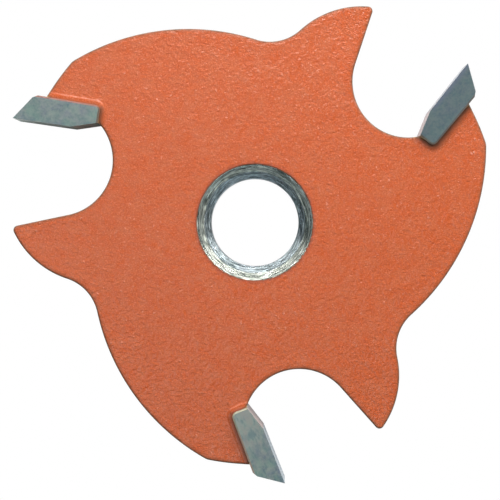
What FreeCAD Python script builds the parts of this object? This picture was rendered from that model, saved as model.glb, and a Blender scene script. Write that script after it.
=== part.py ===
"""Three-wing slotting and carving disc: a coated steel plate with three brazed carbide tips.

Frame, millimetres: origin on the bore axis at mid thickness, +Z along the bore axis towards the
nut side, so that the disc turns counter-clockwise when seen from +Z. The wings are alike, turned
by 120 degrees, and the disc is symmetrical about z = 0. Tip 1 lies in the +X +Y quarter.

One STEP file per physical piece:
  steel_plate          the blank with its bore, countersinks and three tip seats
  orange_coating       the film over the whole plate, stopped at the bore and the tips
  carbide_tip_1..3     the cutting tips
  braze_joint_1..3     the alloy between each tip and its seat, with its fillets
"""

import FreeCAD, Part
import math
import os

from FreeCAD import Placement, Rotation, Vector

# ---- driving dimensions (mm, degrees) ----------------------------------------------------
CUT_DIAMETER = 47.6        # circle through the three tip points
CUT_WIDTH = 6.35           # width of the slot that the tips cut
BORE_DIAMETER = 8.0
PLATE_THICKNESS = 4.80     # bare steel
COAT_THICKNESS = 0.08
WINGS = 3

# wing outline, over the coating, for the wing that runs clockwise from tip 2 to tip 1's gullet
LAND_RADIUS = 22.0                     # short land straight behind each tip
LAND_START_ANGLE = 6.6                 # start of the land, clockwise from the tip point
LAND_BLEND_RADIUS = 1.2                # where the land turns into the back curve
BACK_CENTRE = Vector(-6.08, -2.78, 0)  # long convex back curve of the wing
VALLEY_CENTRE = Vector(1.36, 20.37, 0)     # hollow between the back and the kick-back limiter
VALLEY_RADIUS = 4.10
LIMITER_CENTRE = Vector(9.56, 11.26, 0)    # convex back of the kick-back limiter
LIMITER_NOSE_RADIUS = 0.42
LIMITER_FRONT_ANGLE = 71.8             # straight front of the limiter, against +X
GULLET_CENTRE = Vector(13.85, 12.70, 0)
GULLET_RADIUS = 5.05
GULLET_OVERRUN = 5.0                   # angle by which the gullet's arc runs on into the seat
RIM_EDGE_RADIUS = 0.15                 # edge of the coating, round both faces

# bore: straight wall, then a steep countersink, then a flatter bevel, the same on both faces
SINK_RADIUS = 4.58         # where the countersink meets the bevel
BEVEL_RADIUS = 5.20        # rim of the bevel, on the bare steel face
BEVEL_DEPTH = 0.36         # 120 degree countersink
SINK_DEPTH = 0.58          # 90 degree countersink
BEVEL_OVERCUT = 0.3        # height by which the bevel's cutter rises above the steel face
COAT_HOLE_RADIUS = 5.23    # the coating stops just outside the bevel

# carbide tip: x along its cutting face from the point inwards, y backwards from that face
TIP_ANGLE = 36.7           # position of tip 1 round the disc, from +X
HOOK_ANGLE = 15.0          # cutting face against the radius
RELIEF_ANGLE = 20.5        # top of the tip against the cutting circle
TIP_LENGTH = 7.65
FACE_LENGTH = 5.33         # cutting face, before the inner bevel
INNER_BEVEL_Y = 0.68       # where the inner bevel meets the inner end
TOP_Y = 2.10               # where the relief face ends
HEEL = Vector(1.95, 2.36, 0)   # outer back corner
BACK_Y = 2.24              # back face at the inner end
TIP_CORNER_RADIUS = 0.48   # between the back and the inner end
RADIAL_CLEARANCE = 1.0     # side faces fall away inwards
TANGENTIAL_CLEARANCE = 2.0     # and backwards
TIP_BREAK_WIDTH = 0.15     # the two legs of the broken edge along the back and inner end
TIP_BREAK_DEPTH = 0.08

# brazing
BRAZE_GAP = 0.10
FILLET_WIDTH = 0.42        # foot of the fillet on the plate, beyond the gap
FILLET_HEIGHT = 0.20       # top of the fillet above the bare steel
FILLET_FADE_ANGLE = 2.5    # the fillet narrows towards the rim
INNER_END_RUN = 3.0        # length of the fillet's stock along the tip's inner end
BACK_RUN = 7.5             # and along its back

# ---- derived -----------------------------------------------------------------------------
CUT_RADIUS = CUT_DIAMETER / 2
Z_STEEL = PLATE_THICKNESS / 2
Z_COAT = Z_STEEL + COAT_THICKNESS
HALF_CUT = CUT_WIDTH / 2
BORE_HALF_LENGTH = Z_STEEL - BEVEL_DEPTH - SINK_DEPTH
STEP_ANGLE = 360.0 / WINGS
THROUGH = 5.0              # half height of the tools that pass right through the disc
ORIGIN = Vector(0, 0, 0)
Z_AXIS = Vector(0, 0, 1)

# Sections across the fillet on the +Z face: (distance out from the tip's side, z)
SECTION_START = -0.28      # both sections start inside the tip, so that it trims them
FOOT = BRAZE_GAP + FILLET_WIDTH
FILLET_TOP = Z_STEEL + FILLET_HEIGHT
BRAZE_SECTION = [
    (SECTION_START, Z_STEEL),
    (FOOT, Z_STEEL),
    (FOOT - 0.07, Z_STEEL + 0.07),     # bevelled foot
    (BRAZE_GAP, FILLET_TOP),
    (SECTION_START, FILLET_TOP),
]
COVER_SECTION = [
    (SECTION_START, Z_COAT - 0.01),    # just within the flat coating, to join it
    (FOOT + 0.12, Z_COAT - 0.01),
    (FOOT, Z_STEEL + 0.15),
    (BRAZE_GAP + 0.07, FILLET_TOP + 0.025),
    (BRAZE_GAP + 0.035, Z_COAT + 0.02),
    (SECTION_START, Z_COAT + 0.02),
]


# ---- geometry helpers --------------------------------------------------------------------
def polar(radius, degrees):
    angle = math.radians(degrees)
    return Vector(radius * math.cos(angle), radius * math.sin(angle), 0)


def direction_angle(start, end):
    """Direction from start to end, in degrees from +X."""
    return math.degrees(math.atan2(end.y - start.y, end.x - start.x))


def towards(centre, target, distance):
    """The point at a distance from centre in the direction of target."""
    return centre + (target - centre).normalize() * distance


def arc(centre, radius, start, end, clockwise):
    """Edge of a circle in the plane z = 0 from start to end."""
    start_angle = direction_angle(centre, start)
    sweep = (direction_angle(centre, end) - start_angle) % 360
    if clockwise:
        sweep -= 360
    middle = centre + polar(radius, start_angle + sweep / 2)
    return Part.Arc(start, middle, end).toShape()


def upper_crossing(centre_1, radius_1, centre_2, radius_2):
    """The point where two circles cross that has the higher y."""
    gap = (centre_2 - centre_1).Length
    along = (radius_1**2 - radius_2**2 + gap**2) / (2 * gap)
    across = math.sqrt(radius_1**2 - along**2)
    direction = (centre_2 - centre_1).normalize()
    foot = centre_1 + direction * along
    offset = Z_AXIS.cross(direction) * across
    return max(foot + offset, foot - offset, key=lambda point: point.y)


def polygon_face(points):
    return Part.Face(Part.makePolygon(points + [points[0]]))


def slab(wire, low, high):
    """The inside of a flat wire, between two heights."""
    face = Part.Face(wire)
    face.translate(Vector(0, 0, low))
    return face.extrude(Vector(0, 0, high - low))


def offset_wire(wire, distance):
    """A wire offset outwards, or inwards when distance is negative.

    Which sign grows the wire depends on its orientation, so the area decides.
    """
    result = wire.makeOffset2D(distance, 0, False, False)
    grew = Part.Face(result).Area > Part.Face(wire).Area
    if grew != (distance > 0):
        result = wire.makeOffset2D(-distance, 0, False, False)
    return result


def edge_middle(edge):
    return edge.valueAt((edge.FirstParameter + edge.LastParameter) / 2)


def tip_placement(number):
    """From the tip's own frame to the disc's, for tip 1, 2 or 3."""
    angle = TIP_ANGLE + STEP_ANGLE * (number - 1)
    return Placement(polar(CUT_RADIUS, angle), Rotation(Z_AXIS, angle + 180 + HOOK_ANGLE))


def place_on_disc(shape, number):
    copy = shape.copy()
    copy.Placement = tip_placement(number) * copy.Placement
    return copy


def biggest_solid(shape):
    """The main solid, without any loose slivers that the cuts leave."""
    return max(shape.Solids, key=lambda solid: solid.Volume)


# ---- outline of the coated plate ---------------------------------------------------------
def limiter_nose(back_radius, front, across, front_low):
    """Centre of the nose circle, which touches the limiter's back and its straight front."""
    base = front_low - across * LIMITER_NOSE_RADIUS
    offset = base - LIMITER_CENTRE
    along = offset.dot(front)
    reach = back_radius - LIMITER_NOSE_RADIUS
    climb = -along + math.sqrt(along**2 - (offset.dot(offset) - reach**2))
    return base + front * climb


def outline():
    """Closed wire round the coated plate, running straight across each tip's seat."""
    back_radius = (VALLEY_CENTRE - BACK_CENTRE).Length - VALLEY_RADIUS
    limiter_radius = (LIMITER_CENTRE - VALLEY_CENTRE).Length - VALLEY_RADIUS

    blend = upper_crossing(
        ORIGIN, LAND_RADIUS - LAND_BLEND_RADIUS, BACK_CENTRE, back_radius - LAND_BLEND_RADIUS
    )
    land_start = polar(LAND_RADIUS, TIP_ANGLE + STEP_ANGLE - LAND_START_ANGLE)
    land_end = towards(ORIGIN, blend, LAND_RADIUS)
    back_start = towards(BACK_CENTRE, blend, back_radius)
    back_end = towards(BACK_CENTRE, VALLEY_CENTRE, back_radius)
    valley_end = towards(VALLEY_CENTRE, LIMITER_CENTRE, VALLEY_RADIUS)

    front = polar(1.0, LIMITER_FRONT_ANGLE)
    across = Vector(front.y, -front.x, 0)  # from the limiter's front to the gullet's centre
    front_low = GULLET_CENTRE - across * GULLET_RADIUS
    nose = limiter_nose(limiter_radius, front, across, front_low)
    nose_start = towards(LIMITER_CENTRE, nose, limiter_radius)
    nose_end = nose + across * LIMITER_NOSE_RADIUS

    # the gullet runs on a little way into the seat, so that the seat's cut makes the corner
    seat_corner = tip_placement(1).multVec(Vector(TIP_LENGTH, INNER_BEVEL_Y, 0))
    end_angle = direction_angle(GULLET_CENTRE, seat_corner) + GULLET_OVERRUN
    gullet_end = GULLET_CENTRE + polar(GULLET_RADIUS, end_angle)
    next_land = polar(LAND_RADIUS, TIP_ANGLE - LAND_START_ANGLE)

    wing = [
        arc(ORIGIN, LAND_RADIUS, land_start, land_end, clockwise=True),
        arc(blend, LAND_BLEND_RADIUS, land_end, back_start, clockwise=True),
        arc(BACK_CENTRE, back_radius, back_start, back_end, clockwise=True),
        arc(VALLEY_CENTRE, VALLEY_RADIUS, back_end, valley_end, clockwise=False),
        arc(LIMITER_CENTRE, limiter_radius, valley_end, nose_start, clockwise=True),
        arc(nose, LIMITER_NOSE_RADIUS, nose_start, nose_end, clockwise=True),
        Part.makeLine(nose_end, front_low),
        arc(GULLET_CENTRE, GULLET_RADIUS, front_low, gullet_end, clockwise=False),
        Part.makeLine(gullet_end, next_land),
    ]
    edges = []
    for turn in range(WINGS):
        for edge in wing:
            copy = edge.copy()
            copy.rotate(ORIGIN, Z_AXIS, -STEP_ANGLE * turn)
            edges.append(copy)
    return Part.Wire(Part.__sortEdges__(edges))


# ---- carbide tip, in its own frame -------------------------------------------------------
def tip_outline():
    """The tip's wire and the centre of its rounded corner."""
    point = Vector(0, 0, 0)
    top = Vector(TOP_Y * math.tan(math.radians(HOOK_ANGLE + RELIEF_ANGLE)), TOP_Y, 0)
    back_corner = Vector(TIP_LENGTH, BACK_Y, 0)
    bevel_end = Vector(TIP_LENGTH, INNER_BEVEL_Y, 0)
    face_end = Vector(FACE_LENGTH, 0, 0)

    # round the corner between the back and the inner end
    along_back = (HEEL - back_corner).normalize()
    along_end = (bevel_end - back_corner).normalize()
    half_angle = along_back.getAngle(along_end) / 2
    reach = TIP_CORNER_RADIUS / math.tan(half_angle)
    round_start = back_corner + along_back * reach
    round_end = back_corner + along_end * reach
    bisector = (along_back + along_end).normalize()
    centre = back_corner + bisector * (TIP_CORNER_RADIUS / math.sin(half_angle))
    round_middle = centre - bisector * TIP_CORNER_RADIUS

    wire = Part.Wire([
        Part.makeLine(point, top),
        Part.makeLine(top, HEEL),
        Part.makeLine(HEEL, round_start),
        Part.Arc(round_start, round_middle, round_end).toShape(),
        Part.makeLine(round_end, bevel_end),
        Part.makeLine(bevel_end, face_end),
        Part.makeLine(face_end, point),
    ])
    return wire, centre


def side_waste(side):
    """Block outside the ground side face, which falls away inwards and backwards."""
    normal = Vector(
        math.tan(math.radians(RADIAL_CLEARANCE)),
        math.tan(math.radians(TANGENTIAL_CLEARANCE)),
        side,
    )
    block = Part.makeBox(40, 40, 6, Vector(-20, -20, 0))
    block.Placement = Placement(Vector(0, 0, side * HALF_CUT), Rotation(Z_AXIS, normal))
    return block


def is_broken_edge(edge):
    """True for the side faces' edges along the back, the rounded corner and the inner end."""
    middle = edge_middle(edge)
    z_spread = abs(edge.Vertexes[0].Z - edge.Vertexes[-1].Z)
    on_side = abs(middle.z) > HALF_CUT - 0.4 and z_spread < 0.5
    at_back = middle.y > 2.2 and middle.x > 2.2
    at_end = middle.x > TIP_LENGTH - 0.15 and middle.y > INNER_BEVEL_Y + 0.1
    return on_side and (at_back or at_end)


def make_tip(wire):
    body = slab(wire, -HALF_CUT, HALF_CUT)
    body = body.cut(side_waste(1)).cut(side_waste(-1)).Solids[0]
    edges = [edge for edge in body.Edges if is_broken_edge(edge)]
    return body.makeChamfer(TIP_BREAK_WIDTH, TIP_BREAK_DEPTH, edges).Solids[0]


def sweep_round_tip(section, side, corner_centre):
    """A section run along the tip's back, round its corner and along its inner end.

    side is 1 for the +Z face and -1 for the -Z face.
    """
    def face_at(degrees):
        """The section standing out from the corner's centre in one direction."""
        return polygon_face([
            corner_centre + polar(TIP_CORNER_RADIUS + distance, degrees) + Vector(0, 0, side * z)
            for distance, z in section
        ])

    bend_angle = 90 + FILLET_FADE_ANGLE
    start = face_at(0)
    bend = start.revolve(corner_centre, Z_AXIS, bend_angle)
    end_run = start.extrude(Vector(0, -INNER_END_RUN, 0))
    back_run = face_at(bend_angle).extrude(polar(BACK_RUN, 180 + FILLET_FADE_ANGLE))
    return bend.fuse([end_run, back_run]).removeSplitter()


# ---- plate -------------------------------------------------------------------------------
def is_seat_line(point):
    """True on the straight edge across a seat, which no finished piece keeps."""
    for number in range(1, WINGS + 1):
        local = tip_placement(number).inverse().multVec(point)
        if 2.9 < local.x < 7.2 and 0.4 < local.y < 2.4:
            return True
    return False


def make_coated_blank(wire):
    """The plate over its coating, with the rim rounded on both faces."""
    blank = slab(wire, -Z_COAT, Z_COAT)
    rim_edges = []
    for edge in blank.Edges:
        middle = edge_middle(edge)
        if abs(abs(middle.z) - Z_COAT) < 1e-6 and not is_seat_line(middle):
            rim_edges.append(edge)
    return blank.makeFillet(RIM_EDGE_RADIUS, rim_edges).Solids[0]


def make_bore_tool():
    """Bore and countersinks; the bevel is carried on above the steel for a clean rim."""
    over_radius = BEVEL_RADIUS + BEVEL_OVERCUT * (BEVEL_RADIUS - SINK_RADIUS) / BEVEL_DEPTH
    upper = [  # (radius, z), from the top down
        (0.0, Z_STEEL + BEVEL_OVERCUT),
        (over_radius, Z_STEEL + BEVEL_OVERCUT),
        (SINK_RADIUS, Z_STEEL - BEVEL_DEPTH),
        (BORE_DIAMETER / 2, BORE_HALF_LENGTH),
    ]
    profile = [Vector(radius, 0, -z) for radius, z in upper]
    profile += [Vector(radius, 0, z) for radius, z in reversed(upper)]
    return polygon_face(profile).revolve(ORIGIN, Z_AXIS, 360)


def make_joint(seat, coated_blank, fillets, envelope, tip, steel):
    """Brazing that fills the gap round one tip, with a fillet on each face."""
    joint = seat.common(coated_blank)
    for fillet in fillets:
        joint = joint.fuse(fillet.common(envelope))
    return joint.cut(tip).cut(steel).removeSplitter()


def fit_coating(coating, seat, fillets, covers, envelope):
    """The coating opened for one tip and carried up over its brazing."""
    coating = coating.cut(seat)
    for cover in covers:
        coating = coating.fuse(cover.common(envelope).cut(seat))
    for fillet in fillets:
        coating = coating.cut(fillet)
    return coating


# ---- build -------------------------------------------------------------------------------
def build():
    """All the pieces, by name."""
    outer_wire = outline()
    coated_blank = make_coated_blank(outer_wire)
    steel_blank = slab(offset_wire(outer_wire, -COAT_THICKNESS), -Z_STEEL, Z_STEEL)
    coat_hole = Part.makeCylinder(COAT_HOLE_RADIUS, 2 * THROUGH, Vector(0, 0, -THROUGH))
    # nothing of the braze or the coating stands outside the outline
    envelope = slab(outer_wire, -THROUGH, THROUGH)

    tip_wire, corner_centre = tip_outline()
    tip = make_tip(tip_wire)
    seat = slab(offset_wire(tip_wire, BRAZE_GAP), -THROUGH, THROUGH)
    fillets = [sweep_round_tip(BRAZE_SECTION, side, corner_centre) for side in (1, -1)]
    covers = [sweep_round_tip(COVER_SECTION, side, corner_centre) for side in (1, -1)]

    steel = steel_blank.cut(make_bore_tool())
    coating = coated_blank.cut(steel_blank).cut(coat_hole)
    pieces = {}
    for number in range(1, WINGS + 1):
        this_tip = place_on_disc(tip, number)
        this_seat = place_on_disc(seat, number)
        these_fillets = [place_on_disc(fillet, number) for fillet in fillets]
        these_covers = [place_on_disc(cover, number) for cover in covers]
        steel = steel.cut(this_seat)
        joint = make_joint(this_seat, coated_blank, these_fillets, envelope, this_tip, steel)
        coating = fit_coating(coating, this_seat, these_fillets, these_covers, envelope)
        pieces[f"carbide_tip_{number}"] = this_tip
        pieces[f"braze_joint_{number}"] = joint
    pieces["steel_plate"] = steel.removeSplitter()
    pieces["orange_coating"] = coating.removeSplitter()
    return pieces


os.makedirs("parts", exist_ok=True)
for name, shape in build().items():
    biggest_solid(shape).exportStep(f"parts/{name}.step")
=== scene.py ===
# A three-wing cutting disc: a steel plate under a fused orange film, with a carbide tip
# brazed into each wing. It lies flat in the XY plane, centred on Z = 0, its bore along Z.
# Tip 1 is TIP_ANGLE round from +X, and the other tips follow counter-clockwise.
import math

import bpy
import numpy as np
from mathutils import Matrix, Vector, noise
from mathutils.geometry import delaunay_2d_cdt
from mathutils.kdtree import KDTree


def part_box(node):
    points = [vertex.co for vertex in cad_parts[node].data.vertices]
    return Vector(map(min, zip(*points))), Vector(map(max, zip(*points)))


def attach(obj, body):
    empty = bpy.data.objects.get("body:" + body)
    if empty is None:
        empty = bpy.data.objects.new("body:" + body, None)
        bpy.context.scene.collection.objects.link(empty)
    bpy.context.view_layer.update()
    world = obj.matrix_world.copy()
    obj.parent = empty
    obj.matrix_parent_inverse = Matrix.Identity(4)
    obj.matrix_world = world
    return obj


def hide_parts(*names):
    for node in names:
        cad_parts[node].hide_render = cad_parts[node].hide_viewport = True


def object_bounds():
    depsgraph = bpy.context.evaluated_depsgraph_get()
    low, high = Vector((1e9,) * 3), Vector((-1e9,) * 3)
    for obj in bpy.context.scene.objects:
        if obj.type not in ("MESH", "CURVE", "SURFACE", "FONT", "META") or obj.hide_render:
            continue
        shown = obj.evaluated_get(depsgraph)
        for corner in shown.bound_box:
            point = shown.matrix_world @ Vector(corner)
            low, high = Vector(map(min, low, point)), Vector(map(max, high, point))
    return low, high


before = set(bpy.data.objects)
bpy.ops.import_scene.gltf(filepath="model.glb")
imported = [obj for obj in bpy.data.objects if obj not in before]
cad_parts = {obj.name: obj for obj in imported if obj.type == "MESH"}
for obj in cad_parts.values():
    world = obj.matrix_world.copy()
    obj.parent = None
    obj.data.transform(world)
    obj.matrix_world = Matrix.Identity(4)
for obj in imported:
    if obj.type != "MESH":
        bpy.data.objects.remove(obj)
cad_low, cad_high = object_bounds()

# Lengths are millimetres in the row frame, and become metres when an object is made.
MM = 0.001
FULL_TURN = 2 * math.pi

# ---- sizes ---------------------------------------------------------------------------------
Z_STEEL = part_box("steel_plate")[1].z / MM
COAT = 0.08  # thickness of the film
Z_COAT = Z_STEEL + COAT

# the plate's outline, wing by wing
WINGS = 3
WING_TURN = FULL_TURN / WINGS
LAND_RADIUS = 22.0
LAND_START = math.radians(6.6)  # the land starts this far clockwise of the tip before it
BLEND_RADIUS = 1.2  # between the land and the wing's back
BACK_CENTRE = (-6.08, -2.78)
VALLEY_CENTRE = (1.36, 20.37)
VALLEY_RADIUS = 4.10
LIMITER_CENTRE = (9.56, 11.26)
NOSE_RADIUS = 0.42
FRONT_ANGLE = math.radians(71.8)
GULLET_CENTRE = (13.85, 12.70)
GULLET_RADIUS = 5.05
GULLET_OVERRUN = math.radians(5)  # the gullet's arc goes on this far past the tip's corner
EDGE_RADIUS = 0.15

# the bore: a straight hole between two bevels on each side
BORE_RADIUS = 4.0
SINK_RADIUS = 4.58
BEVEL_RADIUS = 5.20
BEVEL_DEPTH = 0.36
SINK_DEPTH = 0.58
COAT_HOLE = 5.235
HOLE_LIP = 0.05  # rounding of the film's edge at the bore
BORE_LIMIT = 6.0  # every edge nearer the centre than this belongs to the bore

# the tips, each in its own frame: x along the face inwards, y backwards from it
TIPS = (1, 2, 3)
R_TIP = 23.8
TIP_ANGLE = math.radians(36.7)
HOOK = math.radians(15.0)
RELIEF = math.radians(20.5)
TIP_LENGTH = 7.65
FACE_LENGTH = 5.33
INNER_BEVEL_Y = 0.68
TOP_Y = 2.10
HEEL = (1.95, 2.36)
BACK_Y = 2.24
CORNER_RADIUS = 0.48
BRAZE_GAP = 0.10

# mesh spacing
RIM_SPACING = 0.13
SEAT_SPACING = 0.1
GRID_RADIUS = 23.5
GRID_JITTER = 0.25
RIM_LEVELS = 15
SHARP_ANGLE = math.radians(40)


# ---- flat geometry -------------------------------------------------------------------------
def polar(radius, angle):
    return np.array((radius * math.cos(angle), radius * math.sin(angle)))


def unit(vector):
    return vector / max(math.hypot(*vector), 1e-9)


def left_of(vector):
    return np.array((-vector[1], vector[0]))


def radii(points):
    return np.hypot(points[:, 0], points[:, 1])


def circle(count):
    """Evenly spaced angles, and the points of the unit circle there."""
    angles = np.linspace(0, FULL_TURN, count, endpoint=False)
    return angles, np.stack((np.cos(angles), np.sin(angles)), -1)


def turn(points, angle):
    cos, sin = math.cos(angle), math.sin(angle)
    points = np.asarray(points, float)
    x, y = points[..., 0], points[..., 1]
    return np.stack((x * cos - y * sin, x * sin + y * cos), -1)


def towards(centre, point, radius):
    centre = np.asarray(centre, float)
    offset = np.asarray(point, float) - centre
    return centre + offset * (radius / math.hypot(*offset))


def arc_points(centre, radius, start, end, clockwise, spacing):
    """Points of an arc, without its last."""
    first = math.atan2(start[1] - centre[1], start[0] - centre[0])
    last = math.atan2(end[1] - centre[1], end[0] - centre[0])
    if clockwise:
        while last > first:
            last -= FULL_TURN
    else:
        while last < first:
            last += FULL_TURN
    sweep = abs(last - first)
    count = max(2, math.ceil(sweep * radius / spacing), math.ceil(sweep / math.radians(9)))
    angles = np.linspace(first, last, count + 1)[:-1]
    x, y = centre[0] + radius * np.cos(angles), centre[1] + radius * np.sin(angles)
    return np.stack((x, y), -1)


def line_points(start, end, spacing):
    """Points of a straight line, without its last."""
    start, end = np.asarray(start, float), np.asarray(end, float)
    count = max(1, math.ceil(math.hypot(*(end - start)) / spacing))
    return start + (end - start) * np.linspace(0, 1, count + 1)[:-1, None]


FACE_DIR = polar(1.0, TIP_ANGLE + math.pi + HOOK)
BACK_DIR = left_of(FACE_DIR)
TIP_SPOT = polar(R_TIP, TIP_ANGLE)


def to_tip(points, number):
    """From the row frame to the frame of tip 1, 2 or 3."""
    offset = turn(points, -WING_TURN * (number - 1)) - TIP_SPOT
    return np.stack((offset @ FACE_DIR, offset @ BACK_DIR), -1)


def from_tip(points, number):
    points = np.asarray(points, float)
    placed = TIP_SPOT + points[..., 0:1] * FACE_DIR + points[..., 1:2] * BACK_DIR
    return turn(placed, WING_TURN * (number - 1))


def outline(inset, spacing):
    """The plate's outline, set in from the coated surface, as a closed clockwise loop."""
    bore = np.zeros(2)
    gullet = np.array(GULLET_CENTRE)
    back_radius = math.dist(BACK_CENTRE, VALLEY_CENTRE) - VALLEY_RADIUS
    limiter_radius = math.dist(VALLEY_CENTRE, LIMITER_CENTRE) - VALLEY_RADIUS
    # the blend's centre is where two circles meet, about the bore and the back's centre
    from_bore, from_back = LAND_RADIUS - BLEND_RADIUS, back_radius - BLEND_RADIUS
    apart = math.hypot(*BACK_CENTRE)
    ahead = (from_bore * from_bore - from_back * from_back + apart * apart) / (2 * apart)
    aside = math.sqrt(from_bore * from_bore - ahead * ahead)
    axis = np.array(BACK_CENTRE) / apart
    meetings = [ahead * axis + side * aside * left_of(axis) for side in (1, -1)]
    blend = max(meetings, key=lambda point: point[1])
    # the nose touches the limiter's arc and the straight front
    along = polar(1.0, FRONT_ANGLE)
    inward = -left_of(along)
    front_end = gullet - inward * (GULLET_RADIUS + inset)
    base = gullet - inward * (GULLET_RADIUS + NOSE_RADIUS)
    offset = base - LIMITER_CENTRE
    slide = offset @ along
    room = slide * slide - (offset @ offset - (limiter_radius - NOSE_RADIUS) ** 2)
    nose = base + (-slide + math.sqrt(room)) * along
    corner = TIP_SPOT + FACE_DIR * TIP_LENGTH + BACK_DIR * INNER_BEVEL_Y - gullet
    end_angle = math.atan2(corner[1], corner[0]) + GULLET_OVERRUN
    # the arcs' radii after the inset: hollows grow, the rest shrink
    land_r, blend_r, back_r = LAND_RADIUS - inset, BLEND_RADIUS - inset, back_radius - inset
    valley_r, gullet_r = VALLEY_RADIUS + inset, GULLET_RADIUS + inset
    limiter_r, nose_r = limiter_radius - inset, NOSE_RADIUS - inset
    land_start = polar(land_r, TIP_ANGLE + WING_TURN - LAND_START)
    land_end = towards(bore, blend, land_r)
    back_start = towards(BACK_CENTRE, blend, back_r)
    back_end = towards(BACK_CENTRE, VALLEY_CENTRE, back_r)
    valley_end = towards(VALLEY_CENTRE, LIMITER_CENTRE, valley_r)
    nose_start = towards(LIMITER_CENTRE, nose, limiter_r)
    nose_end = nose + inward * nose_r
    gullet_end = gullet + polar(gullet_r, end_angle)
    wing = np.concatenate(
        [
            arc_points(bore, land_r, land_start, land_end, True, spacing),
            arc_points(blend, blend_r, land_end, back_start, True, spacing),
            arc_points(BACK_CENTRE, back_r, back_start, back_end, True, spacing),
            arc_points(VALLEY_CENTRE, valley_r, back_end, valley_end, False, spacing),
            arc_points(LIMITER_CENTRE, limiter_r, valley_end, nose_start, True, spacing),
            arc_points(nose, nose_r, nose_start, nose_end, True, spacing),
            line_points(nose_end, front_end, spacing),
            arc_points(GULLET_CENTRE, gullet_r, front_end, gullet_end, False, spacing),
            gullet_end[None],
        ]
    )
    return np.concatenate([turn(wing, -WING_TURN * k) for k in range(WINGS)])


def tip_outline(gap, spacing):
    """The tip's outline grown by gap, as a closed clockwise loop in the tip's own frame."""
    points = np.array(
        [
            (0.0, 0.0),
            (TOP_Y * math.tan(HOOK + RELIEF), TOP_Y),
            HEEL,
            (TIP_LENGTH, BACK_Y),
            (TIP_LENGTH, INNER_BEVEL_Y),
            (FACE_LENGTH, 0.0),
        ]
    )
    # each edge moved outwards, which is to its left, and the corners where they now meet
    lines = []
    for start, end in zip(points, np.roll(points, -1, axis=0)):
        along = unit(end - start)
        lines.append((start + left_of(along) * gap, along))
    corners = []
    for i, (start, along) in enumerate(lines):
        last_start, last_along = lines[i - 1]
        matrix = np.column_stack((last_along, -along))
        corners.append(last_start + last_along * np.linalg.solve(matrix, start - last_start)[0])
    # the corner between the back and the inner end is rounded
    before, corner, after = corners[2:5]
    radius = CORNER_RADIUS + gap
    to_before, to_after = unit(before - corner), unit(after - corner)
    half = math.acos(to_before @ to_after) / 2
    reach = radius / math.tan(half)
    start, end = corner + to_before * reach, corner + to_after * reach
    centre = corner + unit(to_before + to_after) * radius / math.sin(half)

    def path(stops):
        return [line_points(a, b, spacing) for a, b in zip(stops, stops[1:])]

    return np.concatenate(
        path(corners[:3] + [start])
        + [arc_points(centre, radius, start, end, True, spacing)]
        + path([end] + corners[4:] + corners[:1])
    )


def inside(points, loop):
    """Even-odd test of many points against a closed loop."""
    x, y = points[:, 0], points[:, 1]
    hit = np.zeros(len(points), bool)
    for (ax, ay), (bx, by) in zip(loop, np.roll(loop, -1, axis=0)):
        level = (ay > y) != (by > y)
        if level.any():
            hit[level] ^= x[level] < ax + (y[level] - ay) * (bx - ax) / (by - ay)
    return hit


def search_tree(points):
    """A nearest-point search over flat points."""
    tree = KDTree(len(points))
    for i, (x, y) in enumerate(points):
        tree.insert((x, y, 0.0), i)
    tree.balance()
    return lambda point: tree.find((point[0], point[1], 0.0))


def distance(points, loop):
    """Distance from many points to a closed loop of closely spaced points."""
    find = search_tree(loop)
    near = np.array([find(point)[1] for point in points], int).reshape(-1)
    best = np.full(len(points), 1e9)
    for shift in (-3, -2, -1, 0, 1, 2):
        i = (near + shift) % len(loop)
        start = loop[i]
        edge = loop[(i + 1) % len(loop)] - start
        length2 = np.maximum((edge * edge).sum(-1), 1e-18)
        share = np.clip(((points - start) * edge).sum(-1) / length2, 0, 1)
        best = np.minimum(best, radii(points - start - share[:, None] * edge))
    return best


def crossing(path, loop):
    """Where two closed loops cross: (point, segment, share) entries for each of them."""
    first, second = [], []
    sides = np.roll(loop, -1, axis=0) - loop
    for i, (start, end) in enumerate(zip(path, np.roll(path, -1, axis=0))):
        step = end - start
        cross = step[0] * sides[:, 1] - step[1] * sides[:, 0]
        ok = np.abs(cross) > 1e-12
        safe = np.where(ok, cross, 1)
        gap = loop - start
        t = np.where(ok, (gap[:, 0] * sides[:, 1] - gap[:, 1] * sides[:, 0]) / safe, -1)
        u = np.where(ok, (gap[:, 0] * step[1] - gap[:, 1] * step[0]) / safe, -1)
        for j in np.nonzero(ok & (t >= 0) & (t < 1) & (u >= 0) & (u < 1))[0]:
            point = np.round(start + step * t[j], 5)
            first.append((point, i, float(t[j])))
            second.append((point, int(j), float(u[j])))
    return first, second


def with_points(loop, entries):
    """The loop with (point, segment, share) entries put in, in order."""
    out = []
    for i, point in enumerate(loop):
        out.append(point)
        for entry in sorted((e for e in entries if e[1] == i), key=lambda e: e[2]):
            if math.hypot(*(entry[0] - out[-1])) > 1e-6:
                out.append(entry[0])
    return np.array(out)


def fractal(points, scale, seed, octaves):
    """Smooth noise of about -1 to 1 at many flat or solid points, scale in mm."""
    shift = Vector((seed * 17.31, seed * 7.77, seed * 3.13))
    scaled = points / scale
    if points.shape[1] == 2:
        scaled = np.column_stack((scaled, np.full(len(points), 0.37)))
    return np.array(
        [noise.fractal(Vector(p) + shift, 1.0, 2.0, octaves) for p in scaled.tolist()]
    )


# ---- the loops -----------------------------------------------------------------------------
def clear_of(loop, marks, reach):
    """The loop without the points that crowd a mark, keeping the marks themselves."""
    gap = np.hypot(*(loop[:, None] - marks[None]).transpose(2, 0, 1)).min(1)
    return loop[(gap < 1e-6) | (gap > reach)]


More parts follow.
